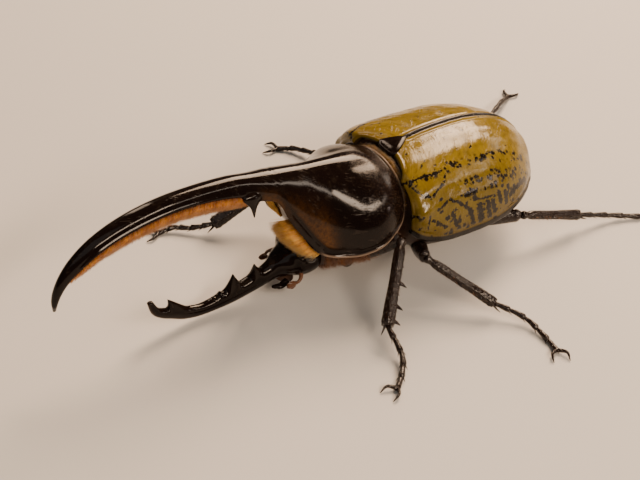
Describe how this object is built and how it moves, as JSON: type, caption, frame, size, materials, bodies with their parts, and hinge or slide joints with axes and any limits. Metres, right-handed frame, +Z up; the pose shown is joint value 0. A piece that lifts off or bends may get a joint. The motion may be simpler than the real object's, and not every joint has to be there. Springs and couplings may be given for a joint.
{
  "type": "rhinoceros beetle",
  "caption": "Large male rhinoceros beetle standing still: black horned shield and head, olive wing cases with black spots, six clawed legs.",
  "frame": {"origin": "middle of the bounding box, on the floor that the feet stand on", "axes": "the head points along -Y, the animal's left side is +X and +Z is up"},
  "size_m": [0.1262, 0.1904, 0.0447],
  "materials": {
    "black_shell": "glossy black-brown chitin with fine grain",
    "olive_shell": "glossy olive yellow chitin with black spots and streaks",
    "leg_shell": "satin black-brown chitin, pitted and ribbed",
    "underside": "dull dark brown chitin with fine pits",
    "eye": "very glossy black with fine facets",
    "golden_hair": "short dense golden orange hair"
  },
  "bodies": {
    "root": {"pronotum": "black_shell", "pronotal_horn": "black_shell", "head": "black_shell", "head_horn": "black_shell", "scutellum": "black_shell", "wing_case_left": "olive_shell", "wing_case_right": "olive_shell", "breast": "underside", "hind_thorax": "underside", "abdomen": "underside", "mouth": "underside", "eye_left": "eye", "mandible_left": "black_shell", "palp_left": "leg_shell", "antenna_left": "leg_shell", "eye_right": "eye", "mandible_right": "black_shell", "palp_right": "leg_shell", "antenna_right": "leg_shell", "left_fore_coxa": "leg_shell", "left_fore_femur": "leg_shell", "left_fore_tibia": "leg_shell", "left_fore_tarsus": "leg_shell", "right_fore_coxa": "leg_shell", "right_fore_femur": "leg_shell", "right_fore_tibia": "leg_shell", "right_fore_tarsus": "leg_shell", "left_mid_coxa": "leg_shell", "left_mid_femur": "leg_shell", "left_mid_tibia": "leg_shell", "left_mid_tarsus": "leg_shell", "right_mid_coxa": "leg_shell", "right_mid_femur": "leg_shell", "right_mid_tibia": "leg_shell", "right_mid_tarsus": "leg_shell", "left_hind_coxa": "leg_shell", "left_hind_femur": "leg_shell", "left_hind_tibia": "leg_shell", "left_hind_tarsus": "leg_shell", "right_hind_coxa": "leg_shell", "right_hind_femur": "leg_shell", "right_hind_tibia": "leg_shell", "right_hind_tarsus": "leg_shell"}
  },
  "joints": []
}
